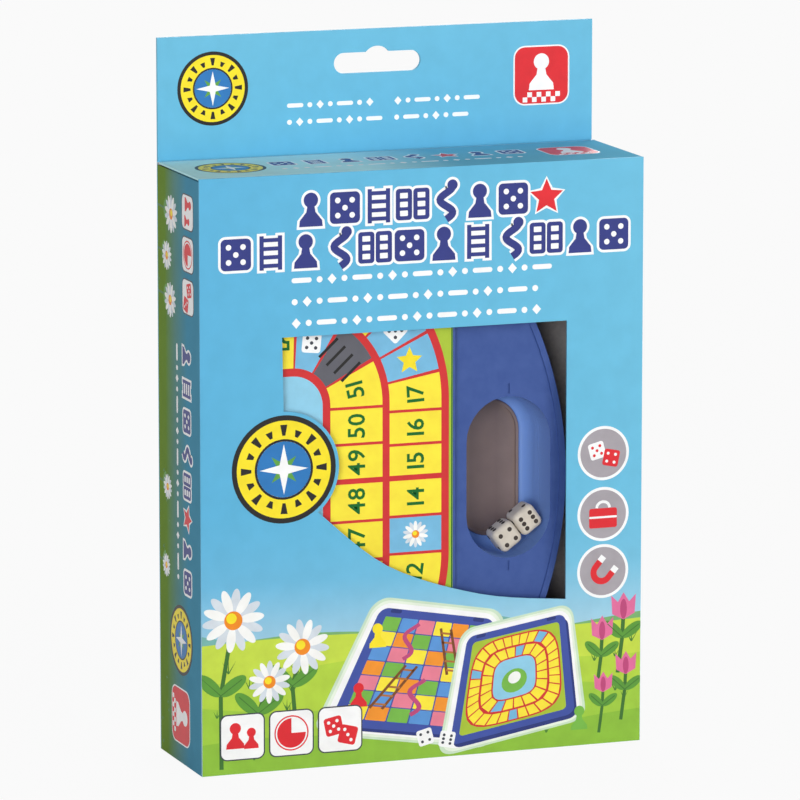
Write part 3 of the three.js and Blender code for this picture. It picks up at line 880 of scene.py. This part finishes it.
def side_print(name, side):
    """A long picture that reads from top to bottom."""
    corner = (side * SIDE_X, -side * BACK_Y, TOP_Z)
    art = Print(name, "carton", "carton", corner, (0, 0, -1), (0, side, 0), SIDE_LIMITS)
    grass(art, 3.3, 203.7, 0.75, 11.25, 16, 6, SIDE_SEED + side, 3.0)
    kinds = "pawn ladder die ribbon board star pawn die".split()
    title_row(art, kinds, 63.0, 142.0, 31.5, 8.6, 6, 0.8)
    ornament_row(art, 60.0, 147.0, 21.0, 3.0, 0, 6)
    card_row(art, 13.0, 14.6, 33.5, 7, 11.6)
    compass(art, 163.5, 24.0, 13.0, 7)
    red_badge(art, 190.5, 23.0, 20.0, 7)
    for cu, cv, radius in (
        (16.0, 15.5, 6.5), (31.0, 10.5, 5.0), (46.0, 14.0, 6.0), (112.0, 10.0, 4.4), (140.0, 8.0, 4.0),
    ):
        flower_stem(art, [(cu - 1.5, 0.6), (cu - 1.2, 0.5 * cv), (cu, cv)], 0.8, 7, 5.0)
        daisy(art, cu, cv, radius, 10)
    art.build()


def back_print():
    art = Print("back_print", "carton", "carton", (0, BACK_Y, 0), (-1, 0, 0), (0, 0, 1), PANEL_LIMITS)
    meadow(art, -80.9, 80.9, 40.0, BACK_SEED)
    kinds = "pawn die ladder board ribbon pawn star".split()
    title_row(art, kinds, -48.0, 48.0, 192.0, 11.5, 6)
    for i, cv in enumerate((178.5, 171.5)):
        ornament_row(art, -50.0, 50.0, cv, 3.6, i, 6)
    pictured_board(art, [(-70.0, 90.0), (-9.0, 80.0), (-3.0, 144.0), (-60.0, 153.0)], 9, True)
    pictured_board(art, [(8.0, 82.0), (70.0, 91.0), (60.0, 155.0), (4.0, 146.0)], 9, False)
    for i, colour in enumerate(("sun", "red", "cell_green", "black")):
        pawn(art, -27.0 + 11.0 * i, 60.0, 11.0, colour, 17)
    die_face(art, 19.0, 59.5, 9.0, "white", 17, 0.0, 5, "outline", 0.2)
    die_face(art, 30.5, 58.5, 9.0, "white", 17, 0.0, 2, "outline", -0.25)
    card_row(art, -66.0, 17.4, 13.0, 12)
    for cu, kind in ((28.0, "dice"), (47.0, "case"), (66.0, "magnet")):
        grey_disc(art, cu, 14.0, 8.2, kind, 12)
    for cu, cv, radius in ((-70.0, 41.0, 9.0), (-52.0, 34.0, 7.0), (72.0, 40.0, 8.5), (56.0, 35.0, 6.5)):
        flower_stem(art, [(cu - 3.0, 24.0), (cu - 2.0, 0.5 * (cv + 24.0)), (cu, cv)], 1.2, 7, 7.0)
        daisy(art, cu, cv, radius, 10)
    art.build()


# The looped track on the outer faces of the board
LOOP_HALF_WIDTH = 56.5
LOOP_HALF_HEIGHT = 61.0
LOOP_RADIUS = 34.0
LOOP_MIDDLE_Z = 98.9
LINE_HALF = 1.2
TRACK_WIDTH = 19.2
EDGE_LINE = 2.7
OUTER_CELLS = 10
START_CELLS = 6
INNER_CELLS = 7
DIVIDER = 0.5
# How much longer the cells next to the middle are, above and below it
OUTER_STRETCH = {1: -0.03, -1: 0.14}
INNER_STRETCH = {1: 0.06, -1: 0.18}
SEAM_WIDTH = 1.9
DIGIT_HEIGHT = 6.3
TRACK_LEFT = 1.1
TRACK_RIGHT = 80.9
TRACK_LOW = -95.8
TRACK_HIGH = 90.0
EDGE_INSET = 0.2
EDGE_WIDTH = 0.5
CELL_INSET = 0.1
CELL_STEPS = 6
FILL_STEPS = 120
# First number next to the middle and the count from there, on the right and left half of the open board
# (1 and -1), above and below its middle (1 and -1)
OUTER_NUMBERS = {(1, 1): (15, 1), (1, -1): (14, -1), (-1, 1): (34, -1), (-1, -1): (1 - START_CELLS, 1)}
INNER_NUMBERS = {(1, 1): (49, 1), (1, -1): (48, -1), (-1, 1): (62, -1), (-1, -1): (35, 1)}
PICTURE_CELLS = {
    5: "flower", 9: "die", 13: "flower", 18: "star", 19: "die", 27: "flower",
    31: "ladder", 36: "flower", 45: "star", 52: "bars", 53: "die", 58: "ladder",
}
CELL_GROUNDS = {None: "yellow", "bars": "stone"}


def mirrored_limits(side, left, right, low, high):
    """Limits of a print that runs from the fold to the right or to the left."""
    return (*sorted((side * left, side * right)), low, high)


def loop_point(run, offset):
    """Place and outward normal on the loop, run in millimetres up from its middle height."""
    sign = 1 if run >= 0 else -1
    run = abs(run)
    radius = LOOP_RADIUS + offset
    straight = LOOP_HALF_HEIGHT - LOOP_RADIUS
    angle = min(max((run - straight) / radius, 0.0), math.pi / 2)
    c = math.cos(angle)
    s = math.sin(angle)
    beyond = max(run - straight - radius * math.pi / 2, 0.0)
    a = LOOP_HALF_WIDTH - LOOP_RADIUS + radius * c - beyond
    b = min(run, straight) + radius * s
    return (a, sign * b), (c, sign * s)


def quarter_length(offset):
    straight = LOOP_HALF_HEIGHT - LOOP_RADIUS + LOOP_HALF_WIDTH - LOOP_RADIUS
    return straight + (LOOP_RADIUS + offset) * math.pi / 2


def track_motif(art, kind, cu, cv, angle, layer):
    if kind == "flower":
        daisy(art, cu, cv, 4.6, layer, angle)
    elif kind == "die":
        die_face(art, cu, cv, 7.4, "white", layer, 0.0, 5, "outline", angle + 0.2)
    elif kind == "star":
        star(art, cu, cv, 9.0, "sun", layer)
    elif kind == "ladder":
        ladder(art, cu, cv, 10.0, "wood_dark", layer, 0.0, 0.4, 4, angle)
    else:
        for i in range(4):
            bar = [(-6.0 + 4.0 * i, -4.6), (-6.0 + 4.0 * i, 4.6)]
            art.shape(turned(band(bar, 1.0), cu, cv, angle), "black", layer)


def track_half(name, body, y, side):
    """One half of the looped track. side is 1 for the right half of the open board, -1 for the left."""
    origin = (FOLD_X, y, LOOP_MIDDLE_Z)
    limits = mirrored_limits(side, TRACK_LEFT, TRACK_RIGHT, TRACK_LOW, TRACK_HIGH)
    art = Print(name, body, "track_print", origin, (side, 0, 0), (0, 0, 1), limits)

    def put(a, b):
        return (side * a, b)

    def run_points(start, end, middle, offset, steps):
        points = []
        for i in range(steps + 1):
            (a, b), (na, nb) = loop_point(start + (end - start) * i / steps, middle)
            points.append(put(a + na * (offset - middle), b + nb * (offset - middle)))
        return points

    def filled(offset, colour, layer):
        reach = quarter_length(offset)
        art.shape(run_points(-reach, reach, offset, offset, FILL_STEPS), colour, layer)

    # Painted shade: a thin dark green line along the outer edge of the print, where it steps down to the
    # blue case
    edge = [put(TRACK_RIGHT - EDGE_INSET, end) for end in (TRACK_LOW, TRACK_HIGH)]
    art.line(edge, EDGE_WIDTH, "digit", 1)
    filled(LINE_HALF + TRACK_WIDTH + EDGE_LINE, "track_red", 1)
    filled(-LINE_HALF - TRACK_WIDTH, "track_red", 4)
    filled(-LINE_HALF - TRACK_WIDTH - EDGE_LINE, "pond", 5)
    seam_reach = LINE_HALF + TRACK_WIDTH + EDGE_LINE / 2
    seam = [put(LOOP_HALF_WIDTH + end * seam_reach, 0.0) for end in (-1, 1)]
    art.line(seam, SEAM_WIDTH, "track_red", 7)

    rows = (
        (LINE_HALF, OUTER_CELLS, OUTER_STRETCH, OUTER_NUMBERS),
        (-LINE_HALF - TRACK_WIDTH, INNER_CELLS, INNER_STRETCH, INNER_NUMBERS),
    )
    for near, count, stretch, numbers in rows:
        middle = near + TRACK_WIDTH / 2
        length = quarter_length(middle)
        for i in range(count):
            for up in (-1, 1):
                start, end = (
                    up * length * share * (1 + stretch[up] * (1 - share))
                    for share in (i / count, (i + 1) / count)
                )
                ends = (start + up * DIVIDER, end - up * DIVIDER)
                outer_line = run_points(*ends, middle, near + TRACK_WIDTH - CELL_INSET, CELL_STEPS)
                inner_line = run_points(*ends, middle, near + CELL_INSET, CELL_STEPS)
                number, step = numbers[side, up]
                value = max(0, number + step * i)
                kind = PICTURE_CELLS.get(value)
                ground = CELL_GROUNDS.get(kind, "sky_cell") if value else "cell_green"
                art.shape(outer_line + inner_line[::-1], ground, 3)
                (a, b), (na, nb) = loop_point((start + end) / 2, middle)
                cu, cv = put(a, b)
                tilt = math.atan2(nb, side * na) + math.pi / 2
                if kind:
                    track_motif(art, kind, cu, cv, tilt, 6)
                elif value:
                    art.number(value, cu, cv, DIGIT_HEIGHT, tilt, "digit", 6)
    art.build()


# The grid on the inner faces of the board
GRID_COLUMNS = 4
GRID_ROWS = 9
GRID_LEFT = 4.7
GRID_RIGHT = 77.3
GRID_LOW = 6.7
GRID_HIGH = 185.3
FIRST_CELL = (5.2, 7.4)
CELL_PITCH = (17.9, 19.7)
CELL_GAP = 0.4
GRID_DIGIT = 4.6


def grid_half(name, body, y, side):
    """One half of the snakes and ladders grid. side is -1 for the front half, 1 for the rear half."""
    limits = mirrored_limits(side, FOLD_X + GRID_LEFT, FOLD_X + GRID_RIGHT, GRID_LOW, GRID_HIGH)
    art = Print(name, body, "grid_print", (0, y, 0), (side, 0, 0), (0, 0, 1), limits)
    half_a, half_z = (pitch / 2 - CELL_GAP for pitch in CELL_PITCH)

    def put(a, z):
        return (side * (FOLD_X + a), z)

    for row in range(GRID_ROWS):
        for column in range(GRID_COLUMNS):
            a = FIRST_CELL[0] + CELL_PITCH[0] * (column + 0.5)
            z = FIRST_CELL[1] + CELL_PITCH[1] * (row + 0.5)
            cu, cv = put(a, z)
            place = GRID_COLUMNS + column if side > 0 else GRID_COLUMNS - 1 - column
            along = place if row % 2 == 0 else 2 * GRID_COLUMNS - 1 - place
            value = row * 2 * GRID_COLUMNS + along + 1
            colour = CELL_COLOURS[(2 * row + place) % len(CELL_COLOURS)]
            art.shape(rounded(cu, cv, half_a, half_z, 1.0), colour, 0)
            art.number(value, cu - 4.2, cv + 5.6, GRID_DIGIT, 0.0, "outline", 1)
    for a, z, height, angle in ((26.0, 66.0, 52.0, 0.25), (58.0, 128.0, 56.0, -0.2)):
        cu, cv = put(a, z)
        ladder(art, cu, cv, height, "wood_dark", 2, 0.0, 0.16, 9, angle, 0.03)
    for a, low, high, colour in ((60.0, 22.0, 84.0, "pink_dark"), (24.0, 104.0, 172.0, "leaf_dark")):
        shares = [i / 32 for i in range(33)]
        wave = [put(a + 7.0 * math.sin(3 * math.pi * t), low + (high - low) * t) for t in shares]
        art.line(wave, 4.2, colour, 2)
        art.line(wave[1:-1], 1.3, "cream", 3)
        art.disc(wave[-1][0], wave[-1][1], 3.4, colour, 2)
    art.build()


front_print()
tab_print()
lid_print()
side_print("left_print", -1)
side_print("right_print", 1)
back_print()
track_half("front_track_inks", "board_front", TRACK_FRONT_Y, 1)
track_half("rear_track_inks", "board_rear", TRACK_REAR_Y, -1)
grid_half("front_grid_inks", "board_front", GRID_FRONT_Y, -1)
grid_half("rear_grid_inks", "board_rear", GRID_REAR_Y, 1)


# Dice with rounded edges and sunk dark pips
DIE_SIZE = 9.0
DIE_TURN = math.radians(-36.0)
DIE_ROUNDING = 2.1
ROUNDING_STEPS = 6
PIP_PITCH = 2.0
PIP_RADII = (0.85, 0.8)
PIP_DEPTH = 0.06
PIP_SIDES = 18
DIE_FACES = {
    "die_1": {"-y": 4, "+y": 3, "+z": 6, "-z": 1, "+x": 5, "-x": 2},
    "die_2": {"-y": 6, "+y": 1, "+z": 2, "-z": 5, "+x": 3, "-x": 4},
}
FACE_FRAMES = {
    "-y": ((1, 0, 0), (0, 0, 1)),
    "+y": ((-1, 0, 0), (0, 0, 1)),
    "+z": ((1, 0, 0), (0, 1, 0)),
    "-z": ((1, 0, 0), (0, -1, 0)),
    "+x": ((0, 1, 0), (0, 0, 1)),
    "-x": ((0, -1, 0), (0, 0, 1)),
}

ivory = mottled("ivory_polished", (208, 199, 186), roughness=0.3, spread=0.03, scale=320.0)
pip_paint = mottled("pip_paint", (56, 48, 44), roughness=0.5, spread=0.08, scale=600.0)


def closed_piece(name, bm, material, body):
    mesh = bpy.data.meshes.new(name)
    bmesh.ops.recalc_face_normals(bm, faces=bm.faces)
    bm.to_mesh(mesh)
    bm.free()
    mesh.materials.append(material)
    return add_piece(name, mesh, body)


def make_die(node):
    low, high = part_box(node)
    centre = (low + high) / 2
    place = Matrix.Translation(centre) @ Matrix.Rotation(DIE_TURN, 4, "Y")
    bm = bmesh.new()
    bmesh.ops.create_cube(bm, size=DIE_SIZE * MM)
    bmesh.ops.bevel(
        bm, geom=bm.edges[:], offset=DIE_ROUNDING * MM, segments=ROUNDING_STEPS,
        profile=0.5, affect="EDGES",
    )
    bmesh.ops.transform(bm, matrix=place, verts=bm.verts)
    for face in bm.faces:
        face.smooth = True
    die = closed_piece(node + "_body", bm, ivory, "dice")
    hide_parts(node)
    pips = bmesh.new()
    for name, count in DIE_FACES[node].items():
        right, up = (Vector(axis) for axis in FACE_FRAMES[name])
        out = right.cross(up)
        for du, dv in PIPS[count]:
            spot = (right * du + up * dv) * PIP_PITCH * MM + out * (DIE_SIZE / 2 * MM)
            turn = out.to_track_quat("Z", "Y").to_matrix().to_4x4()
            matrix = place @ Matrix.Translation(spot) @ turn
            bmesh.ops.create_cone(
                pips, cap_ends=True, segments=PIP_SIDES, radius1=PIP_RADII[0] * MM,
                radius2=PIP_RADII[1] * MM, depth=PIP_DEPTH * MM, matrix=matrix,
            )
    closed_piece(node + "_pips", pips, pip_paint, "dice")


for die_node in ("die_1", "die_2"):
    make_die(die_node)


# Materials of the carton sheets
SKY = [(0.0, (97, 182, 222)), (0.5, (104, 188, 224)), (1.0, (113, 194, 226))]
# The side panels' run from sky to meadow, with painted shade: the whole run darker than the front's sky
SIDE_RUN_AND_SHADE = [
    (0.3, (92, 158, 187)),
    (0.6, (113, 155, 145)),
    (0.82, (122, 155, 74)),
    (1.0, (125, 155, 70)),
]
# The lid's sky print, with a painted sheen that pales its left part
LID_SKY_AND_SHEEN = [
    (0.0, (202, 250, 255)),
    (0.39, (196, 246, 255)),
    (0.6, (122, 198, 226)),
    (1.0, (116, 197, 228)),
]
# The tab's sky print, with painted shade: darker just above the lid
TAB_SKY_AND_SHADE = [(0.0, (96, 178, 216)), (0.25, (106, 188, 223)), (1.0, (112, 192, 224))]
# Raw face of each sheet, its axis and sign, then the axis, ends and colours of the run, which is print,
# with painted shade on the sides and the tab and a painted sheen on the lid
PAPERS = {
    "front_panel": ("Y", 1, "X", -SIDE_X, SIDE_X, SKY),
    "back_panel": ("Y", -1, "X", SIDE_X, -SIDE_X, SKY),
    "hang_tab_front_layer": ("Y", 1, "Z", TOP_Z, TAB_TOP_Z, TAB_SKY_AND_SHADE),
    "left_panel": ("X", 1, "Y", FRONT_Y, BACK_Y, SIDE_RUN_AND_SHADE),
    "right_panel": ("X", -1, "Y", BACK_Y, FRONT_Y, SIDE_RUN_AND_SHADE),
    "top_lid": ("Z", -1, "X", -SIDE_X, SIDE_X, LID_SKY_AND_SHEEN),
}
for sheet in ("tuck_flap", "glue_flap"):
    PAPERS[sheet] = ("Y", -1, "X", -SIDE_X, SIDE_X, SKY)
for sheet in ("dust_flap_left", "dust_flap_right"):
    PAPERS[sheet] = ("Z", -1, "Y", FRONT_Y, BACK_Y, SKY)
for sheet in ("bottom_panel", "bottom_flap_left", "bottom_flap_right", "bottom_inner_panel"):
    PAPERS[sheet] = ("Z", 1, "X", -SIDE_X, SIDE_X, SKY)


def dress(node, material):
    mesh = NODES[node].data
    mesh.materials.clear()
    mesh.materials.append(material)


for sheet, layout in PAPERS.items():
    dress(sheet, carton_paper(sheet, *layout))


# The dice well, with painted light on its wall: its wall from front to back, and its middle and reach along
# each axis
WELL_WALL = (-16.0, -4.0)
WELL_ACROSS = (33.9, 16.4)
WELL_UPRIGHT = (96.0, 29.4)
WELL_DEEP = (-6.0, 9.98)
CASE_ROUGHNESS = 0.46
# The frosted dish, with painted shade darker along its middle and painted light toward its edges
DISH_SPAN = (18.0, 50.0)
DISH_LIGHT_AND_SHADE = [(0.0, (172, 151, 143)), (0.3, (122, 105, 101)), (0.6, (122, 105, 101)), (1.0, (172, 151, 143))]
DISH_MOTTLE = ((240, 240, 240), (255, 255, 255))
DISH_ROUGHNESS = 0.5


def moulded_blue():
    """Blue plastic, with painted light on the wall of the dice well: lighter there, and lighter still
    toward the back.
    """
    shader = Shader("case_blue")
    solid = shader.mottle(220.0, (58, 83, 147), (66, 91, 155))
    # Painted light: a lighter blue on the well's wall, rising from front to back
    painted_light = shader.ramp(shader.along("Y", *WELL_WALL), [(0.0, (104, 136, 202)), (1.0, (124, 160, 224))])
    wall = shader.inside("X", *WELL_ACROSS)
    for limits in (("Z", *WELL_UPRIGHT), ("Y", *WELL_DEEP)):
        wall = add_math(shader.tree, "MULTIPLY", wall, shader.inside(*limits))
    shader.relief(2400.0, 0.3, 0.03)
    return shader.finish(shader.mix(wall, solid, painted_light), CASE_ROUGHNESS, CASE_SPECULAR)


def frosted():
    shader = Shader("frosted_dish")
    # Painted shade along the middle of the dish and painted light at its edges
    run = shader.ramp(shader.along("X", *DISH_SPAN), DISH_LIGHT_AND_SHADE)
    colour = shader.mix(1.0, run, shader.mottle(120.0, *DISH_MOTTLE), "MULTIPLY")
    shader.relief(1600.0, 0.25, 0.02)
    return shader.finish(colour, DISH_ROUGHNESS, CASE_SPECULAR)


blue = moulded_blue()
for node in ("front_shell", "front_tray", "rear_shell", "rear_tray"):
    dress(node, blue)
dress("dice_dish", frosted())
PAWN_COLOURS = {
    "yellow": (240, 207, 40),
    "red": (199, 33, 43),
    "green": (46, 153, 71),
    "black": (42, 42, 44),
}
# Plain materials: nodes, colour, roughness, spread and scale of the mottle, relief and metal
PLAIN = {
    "track_sheet": (("front_track_print", "rear_track_print"), INKS["lime"], 0.45, 0.03, 160.0),
    "grid_sheet": (("front_grid_print", "rear_grid_print"), (238, 234, 214), 0.45, 0.03, 160.0),
    "brushed_steel": (
        ("front_steel_sheet", "rear_steel_sheet", "hinge_pin_lower", "hinge_pin_upper"),
        (168, 172, 176), 0.34, 0.06, 500.0, (1600.0, 0.01), 1.0,
    ),
    "ferrite": (
        ["magnet_" + name for name in PAWN_COLOURS],
        (60, 60, 62), 0.6, 0.12, 900.0, (1500.0, 0.03),
    ),
    "leaflet_paper": (("rules_leaflet",), (244, 242, 236), 0.7, 0.02, 500.0, (1300.0, 0.02)),
}
for name, rgb in PAWN_COLOURS.items():
    PLAIN["pawn_plastic_" + name] = (("pawn_" + name,), rgb, 0.26, 0.03, 240.0, (700.0, 0.01))
for name, (nodes, *look) in PLAIN.items():
    plain = mottled(name, *look)
    for node in nodes:
        dress(node, plain)


# Floor, lights and camera
WHITE = (1.0, 1.0, 1.0, 1.0)
FLOOR_GREY = (0.58, 0.58, 0.58, 1.0)
FLOOR_GLOW = 0.93
FLOOR_HALF = 4.0
AMBIENT = 0.3
# Suns: way of the light, strength, and spread in degrees
SUNS = {
    "key": ((-0.45, 0.85, -0.26), 1.05, 36.0),
    "front_fill": ((0.52, 0.85, -0.08), 1.9, 24.0),
    "rear_fill": ((-0.4, -0.8, -0.3), 1.9, 50.0),
}
SENSOR_WIDTH = 36.0
LENS = 289.6
FAR_CLIP = 50.0
CAMERA_PLACE = Vector((-0.75557, -2.066, 0.5176))
CAMERA_TARGET = Vector((-0.00034, 0.0, 0.12262))


def empty_tree(block):
    block.use_nodes = True
    block.node_tree.nodes.clear()
    return block.node_tree


def seen_rays(tree):
    """1 for rays that show the background: from the camera, in a shine, or through glass."""
    paths = add_node(tree, "ShaderNodeLightPath")
    total = paths.outputs["Is Camera Ray"]
    for kind in ("Is Glossy Ray", "Is Transmission Ray"):
        total = add_math(tree, "MAXIMUM", total, paths.outputs[kind])
    return total


def floor_material():
    """Grey to the light and nearly white to the eye, so that only shadows show."""
    material = bpy.data.materials.new("studio_floor")
    tree = empty_tree(material)
    diffuse = add_node(tree, "ShaderNodeBsdfDiffuse", FLOOR_GREY)
    glow = add_node(tree, "ShaderNodeEmission", WHITE)
    share = add_math(tree, "MULTIPLY", seen_rays(tree), FLOOR_GLOW)
    mix = add_node(tree, "ShaderNodeMixShader", share, diffuse.outputs["BSDF"], glow.outputs["Emission"])
    add_node(tree, "ShaderNodeOutputMaterial", mix.outputs["Shader"])
    return material


def studio_world():
    """White to the eye, dimmer as a light."""
    world = bpy.data.worlds.new("studio_world")
    bpy.context.scene.world = world
    tree = empty_tree(world)
    fill = add_node(tree, "ShaderNodeBackground", WHITE, AMBIENT)
    seen = add_node(tree, "ShaderNodeBackground", WHITE, 1.0)
    shaders = (fill.outputs["Background"], seen.outputs["Background"])
    mix = add_node(tree, "ShaderNodeMixShader", seen_rays(tree), *shaders)
    add_node(tree, "ShaderNodeOutputWorld", mix.outputs["Shader"])


def aim(way):
    """Rotation of a lamp or a camera that looks along a way."""
    return way.to_track_quat("-Z", "Y").to_euler()


def soft_sun(name, toward, strength, spread):
    lamp = bpy.data.lights.new(name, "SUN")
    lamp.energy = strength
    lamp.angle = math.radians(spread)
    add_object(name, lamp).rotation_euler = aim(Vector(toward))


floor_corners = [(u * FLOOR_HALF, v * FLOOR_HALF, 0) for u, v in ((-1, -1), (1, -1), (1, 1), (-1, 1))]
floor_mesh = bpy.data.meshes.new("studio_floor")
floor_mesh.from_pydata(floor_corners, [], [(0, 1, 2, 3)])
floor_mesh.materials.append(floor_material())
studio_floor = add_object("studio_floor", floor_mesh)

studio_world()
for sun_name, (toward, strength, spread) in SUNS.items():
    soft_sun(sun_name, toward, strength, spread)

camera_data = bpy.data.cameras.new("camera")
camera_data.sensor_width = SENSOR_WIDTH
camera_data.lens = LENS
camera_data.clip_end = FAR_CLIP
camera = add_object("camera", camera_data)
camera.location = CAMERA_PLACE
camera.rotation_euler = aim(CAMERA_TARGET - CAMERA_PLACE)
bpy.context.scene.camera = camera
bpy.context.scene.view_settings.view_transform = "Standard"
